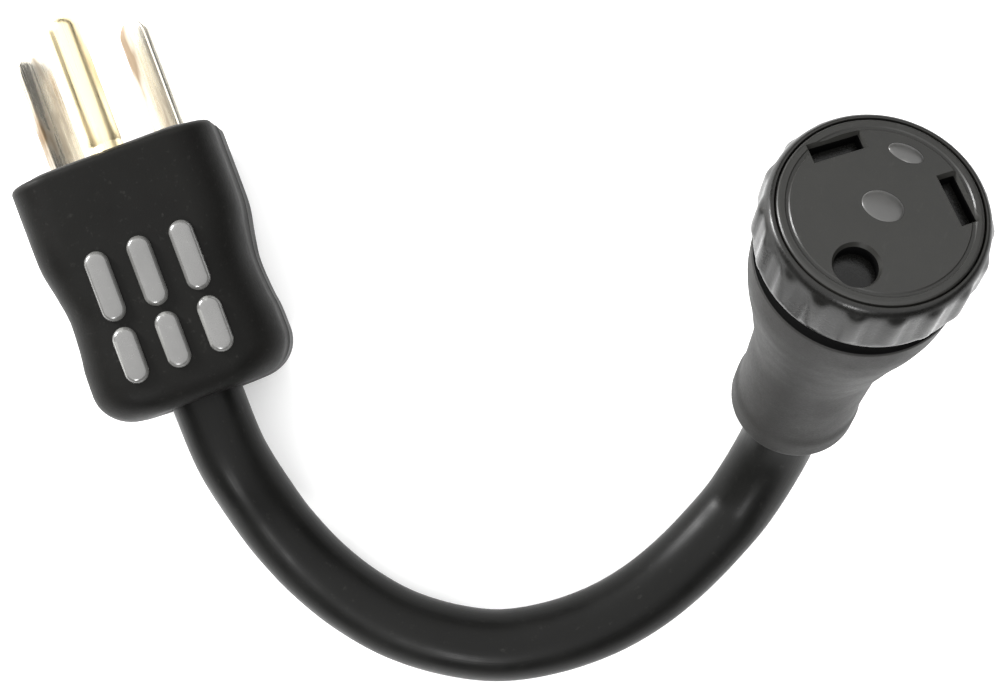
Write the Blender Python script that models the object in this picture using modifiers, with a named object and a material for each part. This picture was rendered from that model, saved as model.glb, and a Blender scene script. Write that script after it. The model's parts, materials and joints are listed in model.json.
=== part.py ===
"""Power adapter dogbone: a moulded 30 A plug and a moulded 30 A in-line connector on a short thick cord.

The dogbone lies on the ground plane z = 0. The plug lies flat, the cord makes a U on the ground, and its
stiff end holds the connector up with its face turned upwards. Each end is built in its own frame: local
+Z leaves the front face, local +Y is the ground pin's side, and the origin is the front face's centre.
"""

import math

import bmesh
import bpy
from mathutils import Matrix, Vector

MM = 0.001
GAP = 0.3

# Where the two ends lie, in millimetres and degrees.
PLUG_FRONT = (-62.94, 13.23, 17)
PLUG_AZIMUTH = 110.5
PLUG_LENGTH = 47.0
NECK_END = (60.06, -30.97, 27.5)
CONNECTOR_AZIMUTH = 79.6
CONNECTOR_ELEVATION = 64.4
CONNECTOR_ROLL = -15.0
CONNECTOR_LENGTH = 71.4

# Blade pattern, shared by the plug and the connector.
BLADE_SPREAD = 10.1
BLADE_DROP = 7.5
BLADE_SLANT = 45.0
GROUND_RISE = 10.5
BLADE_WIDTH = 7.7
BLADE_THICKNESS = 1.7
BLADE_REACH = 24.5
GROUND_PIN_RADIUS = 3.15
GROUND_PIN_REACH = 26.5

# Cord: jacket, three insulated cores laid in a helix, and three fillers between them.
JACKET_RADIUS = 6.8
JACKET_WALL = 1.3
CORE_LAY_RADIUS = 2.77
CORE_RADIUS = 2.25
CONDUCTOR_RADIUS = 1.35
FILLER_LAY_RADIUS = 4.0
FILLER_RADIUS = 0.98
LAY_TURNS = -1
PATH_STEP = 7.0
CORD_IN_PLUG = 10.5
CORD_IN_CONNECTOR = 14.0

# Crimp barrels at the back of the blades and of the contacts.
BARREL_RADIUS = 2.3
BARREL_BORE = CONDUCTOR_RADIUS + GAP
BARREL_DEPTH = 5.5
PLUG_BARREL_END = -24.0
CONTACT_BARREL_END = -33.5

# Carriers.
PLUG_CARRIER = (15.2, 15.0, 4.0)
PLUG_CARRIER_DEPTH = 13.0
INSERT_RADIUS = 16.2
INSERT_REAR_RADIUS = 15.2
INSERT_STEP = 17.0
INSERT_DEPTH = 25.2
COVER_THICKNESS = 1.6
CONTACT_BARREL_X = 5.95
CONTACT_BARREL_Y = -8.8
GROUND_BARREL_Y = 7.0

# The cord's centre line outside the housings, in millimetres, from the plug's rear to the neck's end.
ROUTE = [
    (-46.44, -30.77, 17),
    (-42.04, -41.77, 15.9),
    (-36.14, -51.97, 11.2),
    (-31.80, -57.89, 8.98),
    (-26.34, -63.77, 7.3),
    (-19.52, -69.20, 6.87),
    (-11.54, -73.67, 6.9),
    (-2.30, -76.63, 6.88),
    (7.46, -77.77, 6.9),
    (17.22, -76.30, 6.9),
    (26.46, -73.07, 6.9),
    (34.30, -68.63, 6.87),
    (41.26, -63.07, 6.9),
    (47.81, -56.29, 7.69),
    (53.16, -49.47, 9.4),
    (58.36, -39.17, 16.7),
    NECK_END,
]

COLOURS = {
    "soft_black_pvc": ((0.018, 0.018, 0.017), 0.45, 0.0),
    "hard_black_nylon": ((0.012, 0.012, 0.012), 0.35, 0.0),
    "nickel_plated_brass": ((0.72, 0.69, 0.62), 0.25, 1.0),
    "brass": ((0.78, 0.57, 0.25), 0.3, 1.0),
    "jacket_black": ((0.014, 0.014, 0.014), 0.5, 0.0),
    "line_black": ((0.02, 0.02, 0.02), 0.5, 0.0),
    "neutral_white": ((0.8, 0.8, 0.78), 0.5, 0.0),
    "ground_green": ((0.03, 0.3, 0.08), 0.5, 0.0),
    "copper": ((0.85, 0.42, 0.26), 0.35, 1.0),
    "filler_fibre": ((0.5, 0.42, 0.3), 0.9, 0.0),
}


def clear_scene():
    for obj in list(bpy.data.objects):
        bpy.data.objects.remove(obj, do_unlink=True)


clear_scene()
PARTS = bpy.data.collections.new("power_adapter_dogbone")
CUTTERS = bpy.data.collections.new("cutters")
bpy.context.scene.collection.children.link(PARTS)
bpy.context.scene.collection.children.link(CUTTERS)


def make_material(name):
    colour, roughness, metallic = COLOURS[name]
    material = bpy.data.materials.new(name)
    material.use_nodes = True
    shader = material.node_tree.nodes["Principled BSDF"]
    shader.inputs["Base Color"].default_value = (*colour, 1.0)
    shader.inputs["Roughness"].default_value = roughness
    shader.inputs["Metallic"].default_value = metallic
    return material


MATERIALS = {name: make_material(name) for name in COLOURS}


def end_frame(name, origin, azimuth, elevation, roll):
    """An empty at the front face's centre of one end: +Z leaves the face, +Y is the ground side."""
    around, up = math.radians(azimuth), math.radians(elevation)
    out = Vector((math.cos(up) * math.cos(around), math.cos(up) * math.sin(around), math.sin(up)))
    level_up = (Vector((0, 0, 1)) - out * out.z).normalized()
    ground_side = Matrix.Rotation(math.radians(roll), 3, out) @ level_up
    side = ground_side.cross(out)
    matrix = Matrix((side, ground_side, out)).transposed().to_4x4()
    matrix.translation = Vector(origin) * MM
    empty = bpy.data.objects.new(name, None)
    empty.matrix_world = matrix
    empty.empty_display_size = 10 * MM
    PARTS.objects.link(empty)
    return empty


def connector_front():
    around, up = math.radians(CONNECTOR_AZIMUTH), math.radians(CONNECTOR_ELEVATION)
    out = Vector((math.cos(up) * math.cos(around), math.cos(up) * math.sin(around), math.sin(up)))
    return Vector(NECK_END) + out * CONNECTOR_LENGTH


PLUG = end_frame("plug_frame", PLUG_FRONT, PLUG_AZIMUTH, 0.0, 0.0)
CONNECTOR = end_frame(
    "connector_frame", connector_front(), CONNECTOR_AZIMUTH, CONNECTOR_ELEVATION, CONNECTOR_ROLL
)


def add_object(name, data, parent, material=None):
    """Links an object under one end's frame: a part when it has a material, otherwise a cutter."""
    obj = bpy.data.objects.new(name, data)
    obj.parent = parent
    if material:
        data.materials.append(MATERIALS[material])
        PARTS.objects.link(obj)
    else:
        CUTTERS.objects.link(obj)
        obj.hide_render = True
        obj.display_type = "WIRE"
    return obj


def mesh_from(shape, name):
    mesh = bpy.data.meshes.new(name)
    shape.to_mesh(mesh)
    shape.free()
    return mesh


def smooth(obj, angle=35.0):
    obj.data.shade_smooth()
    obj.data.set_sharp_from_angle(angle=math.radians(angle))


def box(name, size, centre, parent, material=None, slant=0.0, bevel=0.0):
    """A box of full sizes in millimetres, its long side turned by slant degrees about local Z."""
    shape = bmesh.new()
    bmesh.ops.create_cube(shape, size=1.0)
    bmesh.ops.scale(shape, vec=Vector(size) * MM, verts=shape.verts)
    obj = add_object(name, mesh_from(shape, name), parent, material)
    obj.location = Vector(centre) * MM
    obj.rotation_euler = (0, 0, math.radians(slant))
    if bevel:
        round_edges(obj, bevel)
    return obj


def round_edges(obj, width, segments=2):
    bevel = obj.modifiers.new("Bevel", "BEVEL")
    bevel.width = width * MM
    bevel.segments = segments
    bevel.limit_method = "ANGLE"


def turned(name, profile, parent, material=None, centre=(0, 0), steps=24):
    """A solid of revolution about local Z. The profile is (radius, z) from the top of the axis down."""
    mesh = bpy.data.meshes.new(name)
    points = [(radius * MM, 0, z * MM) for radius, z in profile]
    mesh.from_pydata(points, [(i, i + 1) for i in range(len(points) - 1)], [])
    obj = add_object(name, mesh, parent, material)
    obj.location = (centre[0] * MM, centre[1] * MM, 0)
    screw = obj.modifiers.new("Screw", "SCREW")
    screw.steps = screw.render_steps = steps
    screw.use_merge_vertices = True
    screw.merge_threshold = 1e-5
    screw.use_smooth_shade = False
    return obj


def rod(name, radius, top, bottom, parent, material=None, centre=(0, 0), steps=20):
    profile = [(0, top), (radius, top), (radius, bottom), (0, bottom)]
    return turned(name, profile, parent, material, centre, steps)


def rounded_outline(half_width, half_height, corner, per_corner=6):
    """Points of a rectangle with round corners, anticlockwise. With corner = half the side it is a circle."""
    points = []
    for quarter in range(4):
        sign_x = 1 if quarter in (0, 3) else -1
        sign_y = 1 if quarter in (0, 1) else -1
        for i in range(per_corner):
            angle = math.radians(90 * (quarter + i / (per_corner - 1)))
            x = sign_x * (half_width - corner) + corner * math.cos(angle)
            y = sign_y * (half_height - corner) + corner * math.sin(angle)
            if not points or (points[-1] - Vector((x, y))).length > 1e-6:
                points.append(Vector((x, y)))
    return points


def loft(name, rings, parent, material=None):
    """A closed body through rings of equally many (x, y, z) points, ordered from the lowest z upwards."""
    shape = bmesh.new()
    levels = [[shape.verts.new(Vector(point) * MM) for point in ring] for ring in rings]
    count = len(levels[0])
    for low, high in zip(levels, levels[1:]):
        for i in range(count):
            j = (i + 1) % count
            shape.faces.new((low[i], low[j], high[j], high[i]))
    shape.faces.new(reversed(levels[0]))
    shape.faces.new(levels[-1])
    return add_object(name, mesh_from(shape, name), parent, material)


def section_rings(sections):
    """Rings of a rounded rectangle for each (z, half width, half height, corner radius)."""
    rings = []
    for z, half_width, half_height, corner in sections:
        outline = rounded_outline(half_width, half_height, min(corner, half_width, half_height) - 0.01)
        rings.append([(*point, z) for point in outline])
    return rings


def combine(obj, other, operation):
    boolean = obj.modifiers.new(f"{operation.title()} {other.name}", "BOOLEAN")
    boolean.operation = operation
    boolean.object = other
    boolean.solver = "EXACT"


def cut(obj, *cutters):
    for cutter in cutters:
        combine(obj, cutter, "DIFFERENCE")


def join(obj, *others):
    for other in others:
        combine(obj, other, "UNION")


def blade_places(end):
    """(name, side, slant) of the two slanted blades. The ends face each other, so their sides are swapped."""
    left, right = ("line", "neutral") if end is PLUG else ("neutral", "line")
    return ((right, 1, BLADE_SLANT), (left, -1, -BLADE_SLANT))


# ---------------------------------------------------------------- plug


def grip_lozenge(name, x, z, length, width, height):
    """A raised pill on the plug's broad top, half of it sunk so that the join is clean."""
    outline = [(math.cos(2 * math.pi * i / 12), math.sin(2 * math.pi * i / 12)) for i in range(12)]
    straight = (length - width) / 2
    rings = []
    for angle in (-85, -60, -30, 0, 0, 30, 60, 85):
        end = -straight if len(rings) < 4 else straight
        size, lift = math.cos(math.radians(angle)), math.sin(math.radians(angle)) * width / 2
        rings.append([(width / 2 * size * u, height * size * v, end + lift) for u, v in outline])
    obj = loft(name, rings, PLUG)
    obj.location = (x * MM, PLUG_FRONT[2] * MM, z * MM)
    return obj


def plug_sections():
    """The plug's outer body: small front edge, waist in the grip, round rear shoulders."""
    half_height = PLUG_FRONT[2]
    sections = []
    rear_radius, rear_rise = 7.0, 5.0
    for i in range(5):
        angle = math.radians(90 * i / 4)
        inset = 1 - math.sin(angle)
        z = -PLUG_LENGTH + rear_radius * (1 - math.cos(angle))
        sections.append((z, 18.3 - rear_radius * inset, half_height - rear_rise * inset, 9.0))
    sections += [(-35.5, 18.2, half_height, 9.0), (-32.0, 17.7, half_height, 9.0)]
    sections += [(-26.0, 17.45, half_height, 9.0), (-21.0, 18.1, half_height, 8.5)]
    sections += [(-16.0, 19.0, half_height, 8.0), (-1.2, 19.15, half_height, 8.0)]
    sections += [(-0.35, 18.8, half_height - 0.35, 7.6), (0.0, 18.0, half_height - 1.2, 7.0)]
    return sections


def build_plug_overmould():
    body = loft("plug_overmould", section_rings(plug_sections()), PLUG, "soft_black_pvc")
    lozenges = [
        grip_lozenge(f"grip_cutter_{row}_{column}", column * 8.0, z, length, 4.2, 1.3)
        for row, (z, length) in enumerate(((-22.6, 13.0), (-35.6, 10.4)))
        for column in (-1, 0, 1)
    ]
    join(body, *lozenges)
    half_width, half_height, corner = PLUG_CARRIER
    tunnel = JACKET_RADIUS + GAP
    inside = [
        (-PLUG_LENGTH - 3, tunnel, tunnel, tunnel),
        (-PLUG_LENGTH + CORD_IN_PLUG + 1.5, tunnel, tunnel, tunnel),
        (-30.0, 13.0, 12.0, 10.0),
        (-PLUG_CARRIER_DEPTH - GAP, half_width + GAP, half_height + GAP, corner + GAP),
        (1.0, half_width + GAP, half_height + GAP, corner + GAP),
    ]
    cut(body, loft("plug_cavity", section_rings(inside), PLUG))
    smooth(body)


def build_plug_carrier():
    half_width, half_height, corner = PLUG_CARRIER
    sections = [
        (-PLUG_CARRIER_DEPTH, half_width, half_height, corner),
        (-0.1, half_width, half_height, corner),
        (0.5, half_width - 0.6, half_height - 0.6, corner - 0.5),
    ]
    carrier = loft("plug_blade_carrier", section_rings(sections), PLUG, "hard_black_nylon")
    slot_size = (BLADE_WIDTH + 2 * GAP, BLADE_THICKNESS + 2 * GAP, PLUG_CARRIER_DEPTH + 4)
    for name, side, slant in blade_places(PLUG):
        place = (side * BLADE_SPREAD, -BLADE_DROP, -PLUG_CARRIER_DEPTH / 2)
        cut(carrier, box(f"{name}_carrier_slot", slot_size, place, PLUG, slant=slant))
    through = -PLUG_CARRIER_DEPTH - 2
    centre = (0, GROUND_RISE)
    ground_hole = rod("ground_carrier_hole", GROUND_PIN_RADIUS + GAP, 2, through, PLUG, centre=centre)
    cut(carrier, ground_hole)
    smooth(carrier)


def build_plug_blades():
    """Each blade runs from its tip through the carrier into a crimp barrel."""
    root = PLUG_BARREL_END + BARREL_DEPTH + 1.5
    for name, side, slant in blade_places(PLUG):
        length = BLADE_REACH - root
        place = (side * BLADE_SPREAD, -BLADE_DROP, root + length / 2)
        size = (BLADE_WIDTH, BLADE_THICKNESS, length)
        blade = box(f"{name}_blade", size, place, PLUG, "nickel_plated_brass", slant, bevel=0.45)
        centre = (side * BLADE_SPREAD, -BLADE_DROP)
        barrel = rod(f"{name}_blade_barrel", BARREL_RADIUS, root + 2, PLUG_BARREL_END, PLUG, centre=centre)
        bore_top = PLUG_BARREL_END + BARREL_DEPTH
        bore = rod(f"{name}_blade_bore", BARREL_BORE, bore_top, PLUG_BARREL_END - 2, PLUG, centre=centre)
        join(blade, barrel)
        cut(blade, bore)


def build_ground_pin():
    """Round pin with a domed tip; its rear end is turned down to a crimp barrel with a blind bore."""
    radius, tip = GROUND_PIN_RADIUS, GROUND_PIN_REACH
    profile = [(0, tip)]
    for i in range(1, 6):
        angle = math.radians(90 * i / 5)
        profile.append((radius * math.sin(angle), tip - 2.6 * (1 - math.cos(angle))))
    bore_top = PLUG_BARREL_END + BARREL_DEPTH
    profile += [(radius, -14.5), (BARREL_RADIUS, -15.5), (BARREL_RADIUS, PLUG_BARREL_END)]
    profile += [(BARREL_BORE, PLUG_BARREL_END), (BARREL_BORE, bore_top), (0, bore_top)]
    pin = turned("ground_pin", profile, PLUG, "brass", (0, GROUND_RISE), 24)
    smooth(pin)


# ---------------------------------------------------------------- connector


def connector_profile():
    """(z, radius) of the connector's outer body, from the neck's end up to the face."""
    length = CONNECTOR_LENGTH
    neck_end = [(-length, 10.2), (-length + 0.4, 10.9), (-length + 1.4, 11.3), (-length + 5.0, 11.3)]
    taper = [(-length + 8.0, 10.9), (-57.0, 11.0), (-47.0, 11.4), (-42.0, 12.2), (-38.0, 13.1)]
    shoulder = [(-33.5, 14.1), (-30.0, 15.0), (-27.0, 15.8), (-24.0, 16.4), (-21.5, 16.8)]
    groove = [(-17.0, 17.15), (-14.6, 17.2), (-14.2, 17.0), (-11.9, 17.0), (-11.4, 17.8)]
    flange = [(-10.4, 17.9), (-3.0, 17.9), (-1.2, 17.7), (-0.4, 17.5), (0.0, 17.2)]
    return neck_end + taper + shoulder + groove + flange


def build_connector_overmould():
    """A turned body with eighteen shallow grip ribs around its flange, and a stepped hollow inside."""
    count, ribs, rib_height = 54, 18, 0.6
    rings = []
    for z, radius in connector_profile():
        ribbed = rib_height if -10.5 < z < -1.0 else 0.0
        ring = []
        for i in range(count):
            angle = 2 * math.pi * i / count
            reach = radius + ribbed * max(0.0, math.cos(ribs * angle))
            ring.append((reach * math.cos(angle), reach * math.sin(angle), z))
        rings.append(ring)
    body = loft("connector_overmould", rings, CONNECTOR, "soft_black_pvc")
    tunnel = JACKET_RADIUS + GAP
    jacket_end = -CONNECTOR_LENGTH + CORD_IN_CONNECTOR
    cover_rear = -INSERT_DEPTH - COVER_THICKNESS - 2 * GAP
    inside = [(0, 2.0), (INSERT_RADIUS + GAP, 2.0), (INSERT_RADIUS + GAP, -INSERT_STEP - GAP)]
    inside += [(INSERT_REAR_RADIUS + GAP, -INSERT_STEP - GAP), (INSERT_REAR_RADIUS + GAP, -INSERT_DEPTH)]
    inside += [(INSERT_REAR_RADIUS, -INSERT_DEPTH - GAP), (INSERT_REAR_RADIUS, cover_rear)]
    inside += [(13.2, -33.7), (12.1, -38.0), (9.6, -46.0), (tunnel, jacket_end + 1.5)]
    inside += [(tunnel, -CONNECTOR_LENGTH - 3), (0, -CONNECTOR_LENGTH - 3)]
    cut(body, turned("connector_cavity", inside, CONNECTOR, steps=32))
    smooth(body)


def slot_box(name, half_normal, inner, outer, top, bottom, side, slant):
    """A box around one slanted slot: inner and outer are its ends along the slot, from the slot's middle."""
    turn = Matrix.Rotation(math.radians(slant), 2)
    middle = turn @ Vector((side * (outer - inner) / 2, 0)) + Vector((side * BLADE_SPREAD, -BLADE_DROP))
    size = (outer + inner, 2 * half_normal, top - bottom)
    return box(name, size, (middle.x, middle.y, (top + bottom) / 2), CONNECTOR, slant=slant)


def build_face_insert():
    """Hard round insert: entry slots in a front wall, and wider pockets for the contacts behind it."""
    profile = [(0, 0.2), (INSERT_RADIUS - 0.4, 0.2), (INSERT_RADIUS, -0.2), (INSERT_RADIUS, -INSERT_STEP)]
    profile += [(INSERT_REAR_RADIUS, -INSERT_STEP), (INSERT_REAR_RADIUS, -INSERT_DEPTH), (0, -INSERT_DEPTH)]
    insert = turned("connector_face_insert", profile, CONNECTOR, "hard_black_nylon", steps=36)
    for name, side, slant in blade_places(CONNECTOR):
        cut(
            insert,
            slot_box(f"{name}_entry", 1.25, 4.2, 4.2, 2.0, -4.0, side, slant),
            slot_box(f"{name}_pocket", 2.1, 5.4, 4.1, -3.5, -16.5, side, slant),
            slot_box(f"{name}_tail_pocket", 1.3, 5.3, 4.0, -16.0, -INSERT_DEPTH - 2, side, slant),
        )
    ground = (0, GROUND_RISE)
    cut(
        insert,
        rod("ground_entry", 3.5, 2.0, -4.0, CONNECTOR, centre=ground, steps=28),
        rod("ground_pocket", 4.8, -3.5, -INSERT_DEPTH - 2, CONNECTOR, centre=ground),
    )
    smooth(insert)


def contact_barrel(obj, name, x, y):
    """Adds the crimp barrel behind the insert, with its blind bore, to a contact."""
    end = CONTACT_BARREL_END
    bore_end = end + BARREL_DEPTH
    barrel = rod(f"{name}_contact_barrel", BARREL_RADIUS, bore_end + 2.0, end, CONNECTOR, centre=(x, y))
    bore = rod(f"{name}_contact_bore", BARREL_BORE, bore_end, end - 2, CONNECTOR, centre=(x, y))
    join(obj, barrel)
    cut(obj, bore)


def build_blade_contacts():
    """Folded channel that grips a blade: two leaves on a side web, a tail strip and a crimp barrel."""
    for name, side, slant in blade_places(CONNECTOR):
        turn = Matrix.Rotation(math.radians(slant), 2)
        middle = Vector((side * BLADE_SPREAD, -BLADE_DROP))
        web_inner, web_outer, leaf_end, leaf, slit = 5.0, 4.2, 3.6, 1.75, 1.05
        centre = turn @ Vector((side * (leaf_end - web_inner) / 2, 0)) + middle
        size = (leaf_end + web_inner, 2 * leaf, 12.0)
        contact = box(f"{name}_contact", size, (*centre, -10.0), CONNECTOR, "brass", slant)
        gap_centre = turn @ Vector((side * (leaf_end + 2 - web_outer) / 2, 0)) + middle
        gap_size = (leaf_end + 2 + web_outer, 2 * slit, 14.0)
        cut(contact, box(f"{name}_contact_gap", gap_size, (*gap_centre, -10.0), CONNECTOR, slant=slant))
        tail_centre = turn @ Vector((-side * (web_inner + web_outer) / 2, 0)) + middle
        tail = box(f"{name}_contact_tail", (0.8, 2.0, 13.5), (*tail_centre, -21.5), CONNECTOR, slant=slant)
        join(contact, tail)
        contact_barrel(contact, name, side * CONTACT_BARREL_X, CONTACT_BARREL_Y)


def build_ground_contact():
    """Split round socket for the ground pin, with the same tail and crimp barrel."""
    inner, outer = GROUND_PIN_RADIUS + 0.2, GROUND_PIN_RADIUS + 1.0
    profile = [(inner, -4.0), (outer, -4.0), (outer, -16.0), (inner, -16.0), (inner, -4.0)]
    contact = turned("ground_contact", profile, CONNECTOR, "brass", (0, GROUND_RISE), 24)
    slit = box("ground_contact_slit", (1.0, 4.0, 14.0), (0, GROUND_RISE + outer, -10.0), CONNECTOR)
    cut(contact, slit)
    tail = box("ground_contact_tail", (2.4, 0.8, 13.5), (0, GROUND_RISE - 3.8, -21.5), CONNECTOR)
    join(contact, tail)
    contact_barrel(contact, "ground", 0, GROUND_BARREL_Y)


def build_contact_cover():
    """Disc that closes the contact pockets; the three crimp barrels pass through it."""
    top = -INSERT_DEPTH - GAP
    radius = INSERT_REAR_RADIUS - GAP
    bottom = top - COVER_THICKNESS
    cover = rod("connector_contact_cover", radius, top, bottom, CONNECTOR, "hard_black_nylon", steps=36)
    places = [(side * CONTACT_BARREL_X, CONTACT_BARREL_Y) for side in (1, -1)] + [(0, GROUND_BARREL_Y)]
    for number, centre in enumerate(places):
        cut(cover, rod(f"cover_hole_{number}", 3.7, top + 2, bottom - 2, CONNECTOR, centre=centre))


# ---------------------------------------------------------------- cord


def catmull_rom(points, samples=12):
    """A smooth curve through the points, with its ends mirrored so that it keeps its direction there."""
    points = [Vector(point) for point in points]
    padded = [2 * points[0] - points[1], *points, 2 * points[-1] - points[-2]]
    curve = []
    for a, b, c, d in zip(padded, padded[1:], padded[2:], padded[3:]):
        for i in range(samples):
            t = i / samples
            chord = 2 * b + (c - a) * t
            curve.append(0.5 * (chord + (2 * a - 5 * b + 4 * c - d) * t**2 + (3 * b - a - 3 * c + d) * t**3))
    curve.append(points[-1])
    return curve


def resample(curve, step):
    """Points at an even spacing close to step along the curve."""
    lengths = [0.0]
    for a, b in zip(curve, curve[1:]):
        lengths.append(lengths[-1] + (b - a).length)
    count = max(2, round(lengths[-1] / step))
    result, segment = [], 0
    for i in range(count + 1):
        target = lengths[-1] * i / count
        while segment < len(curve) - 2 and lengths[segment + 1] < target:
            segment += 1
        span = lengths[segment + 1] - lengths[segment]
        result.append(curve[segment].lerp(curve[segment + 1], (target - lengths[segment]) / span))
    return result


def local_to_world(frame, x, y, z):
    return frame.matrix_basis @ (Vector((x, y, z)) * MM) / MM


def cord_axis():
    """The jacket's centre line, from its end inside the plug to its end inside the connector."""
    plug_end = local_to_world(PLUG, 0, 0, -PLUG_LENGTH + CORD_IN_PLUG)
    connector_end = local_to_world(CONNECTOR, 0, 0, -CONNECTOR_LENGTH + CORD_IN_CONNECTOR)
    return resample(catmull_rom([plug_end, *ROUTE, connector_end]), PATH_STEP)


def carried_frames(points, first_side):
    """A side vector at each point, carried along the curve without twist."""
    sides, tangents = [], []
    for i in range(len(points)):
        ahead, behind = points[min(i + 1, len(points) - 1)], points[max(i - 1, 0)]
        tangents.append((ahead - behind).normalized())
    side = first_side
    for tangent in tangents:
        side = (side - tangent * side.dot(tangent)).normalized()
        sides.append(side)
    return tangents, sides


def lay_offsets(points, tangents, sides, angle_on_plug):
    """Unit offsets of a core that winds round the axis and meets its terminal's side at both ends."""
    plug_axes, connector_axes = PLUG.matrix_basis.to_3x3(), CONNECTOR.matrix_basis.to_3x3()
    plug_up, end_up = plug_axes.col[1], connector_axes.col[1]
    first_turn, last_turn = tangents[0].cross(sides[0]), tangents[-1].cross(sides[-1])
    start = math.atan2(plug_up.dot(first_turn), plug_up.dot(sides[0]))
    finish = math.atan2(end_up.dot(last_turn), end_up.dot(sides[-1])) + 2 * math.pi * LAY_TURNS
    offsets = []
    for i in range(len(points)):
        part = i / (len(points) - 1)
        angle = start + (finish - start) * part + math.radians(angle_on_plug)
        across = tangents[i].cross(sides[i])
        offsets.append(sides[i] * math.cos(angle) + across * math.sin(angle))
    return offsets


def fan_out(frame, terminal, terminal_z, offset, jacket_z, count, swing):
    """Points from a crimp barrel's mouth to where the core enters the jacket: a line, or an S with swing."""
    x, y = terminal
    inverse = frame.matrix_basis.to_3x3().inverted()
    laid = inverse @ offset * CORE_LAY_RADIUS
    points = []
    for i in range(count):
        part = i / count
        eased = part + swing * (part * part * (3 - 2 * part) - part)
        z = terminal_z + (jacket_z - terminal_z) * part
        points.append(local_to_world(frame, x + (laid.x - x) * eased, y + (laid.y - y) * eased, z))
    return points


def tube(name, points, radius, material, resolution=2, wall=0.0):
    """A poly tube through the points: solid with filled caps, or hollow and open with a wall."""
    curve = bpy.data.curves.new(name, "CURVE")
    curve.dimensions = "3D"
    curve.bevel_depth = radius * MM
    curve.bevel_resolution = resolution
    curve.use_fill_caps = not wall
    spline = curve.splines.new("POLY")
    spline.points.add(len(points) - 1)
    for target, point in zip(spline.points, points):
        target.co = (*(point * MM), 1.0)
    obj = bpy.data.objects.new(name, curve)
    curve.materials.append(MATERIALS[material])
    PARTS.objects.link(obj)
    if wall:
        shell = obj.modifiers.new("Solidify", "SOLIDIFY")
        shell.thickness = wall * MM
        shell.offset = -1.0
        shell.use_even_offset = True
    return obj


def build_cord():
    axis = cord_axis()
    tube("cord_jacket", axis, JACKET_RADIUS, "jacket_black", resolution=4, wall=JACKET_WALL)
    plug_side = PLUG.matrix_basis.to_3x3().col[0]
    tangents, sides = carried_frames(axis, plug_side)
    jacket_z = (-PLUG_LENGTH + CORD_IN_PLUG, -CONNECTOR_LENGTH + CORD_IN_CONNECTOR)
    cores = (
        ("ground", 0, (0, GROUND_RISE), (0, GROUND_BARREL_Y), "ground_green"),
        ("line", -120, (-BLADE_SPREAD, -BLADE_DROP), (CONTACT_BARREL_X, CONTACT_BARREL_Y), "line_black"),
        ("neutral", 120, (BLADE_SPREAD, -BLADE_DROP), (-CONTACT_BARREL_X, CONTACT_BARREL_Y), "neutral_white"),
    )
    for name, angle, plug_terminal, contact_terminal, colour in cores:
        offsets = lay_offsets(axis, tangents, sides, angle)
        laid = [point + offset * CORE_LAY_RADIUS for point, offset in zip(axis, offsets)]
        plug_mouth, contact_mouth = PLUG_BARREL_END - 1.0, CONTACT_BARREL_END - 1.0
        head = fan_out(PLUG, plug_terminal, plug_mouth, offsets[0], jacket_z[0] + 1, 6, 1.0)
        tail = fan_out(CONNECTOR, contact_terminal, contact_mouth, offsets[-1], jacket_z[1] + 1, 6, 0.0)
        path = [*head, *laid, *reversed(tail)]
        tube(f"{name}_insulation", path, CORE_RADIUS, colour, wall=CORE_RADIUS - CONDUCTOR_RADIUS - GAP)
        plug_root = local_to_world(PLUG, *plug_terminal, PLUG_BARREL_END + BARREL_DEPTH - GAP)
        contact_root = local_to_world(CONNECTOR, *contact_terminal, CONTACT_BARREL_END + BARREL_DEPTH - GAP)
        tube(f"{name}_conductor", [plug_root, *path, contact_root], CONDUCTOR_RADIUS, "copper")
    for number, angle in enumerate((60, 180, -60), start=1):
        offsets = lay_offsets(axis, tangents, sides, angle)
        laid = [point + offset * FILLER_LAY_RADIUS for point, offset in zip(axis, offsets)]
        tube(f"filler_strand_{number}", laid, FILLER_RADIUS, "filler_fibre")


build_plug_overmould()
build_plug_carrier()
build_plug_blades()
build_ground_pin()
build_connector_overmould()
build_face_insert()
build_blade_contacts()
build_ground_contact()
build_contact_cover()
build_cord()
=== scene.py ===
"""Looks of the power adapter dogbone: a moulded plug and a moulded in-line connector on a short stiff cord.

Every piece of an end is modelled in that end's own frame, in millimetres: +Z leaves the front face, +Y is
the ground pin's side, and the origin is the front face's centre. The frames come from the record's mounts.
"""

import json
import math

import bmesh
import bpy
from mathutils import Matrix, Vector


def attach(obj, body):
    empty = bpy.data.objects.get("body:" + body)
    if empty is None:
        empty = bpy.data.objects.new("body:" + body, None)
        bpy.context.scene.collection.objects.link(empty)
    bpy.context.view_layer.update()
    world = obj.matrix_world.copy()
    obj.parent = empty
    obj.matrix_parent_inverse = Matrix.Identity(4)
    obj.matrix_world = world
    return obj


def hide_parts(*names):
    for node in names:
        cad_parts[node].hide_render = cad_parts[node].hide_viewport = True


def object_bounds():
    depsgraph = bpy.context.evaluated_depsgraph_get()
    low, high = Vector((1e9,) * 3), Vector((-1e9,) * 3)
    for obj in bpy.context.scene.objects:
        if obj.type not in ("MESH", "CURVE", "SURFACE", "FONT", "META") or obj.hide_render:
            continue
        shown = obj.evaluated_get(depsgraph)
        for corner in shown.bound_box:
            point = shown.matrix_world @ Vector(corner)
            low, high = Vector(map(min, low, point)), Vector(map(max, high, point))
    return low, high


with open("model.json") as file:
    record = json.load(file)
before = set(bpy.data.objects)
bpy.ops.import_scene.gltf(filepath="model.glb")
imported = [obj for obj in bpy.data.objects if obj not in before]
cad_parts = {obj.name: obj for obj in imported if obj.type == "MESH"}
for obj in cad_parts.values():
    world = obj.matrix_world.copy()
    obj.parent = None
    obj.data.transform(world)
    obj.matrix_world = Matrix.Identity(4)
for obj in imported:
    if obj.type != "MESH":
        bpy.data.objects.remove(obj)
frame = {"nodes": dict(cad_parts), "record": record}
CAD_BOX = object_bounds()
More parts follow.
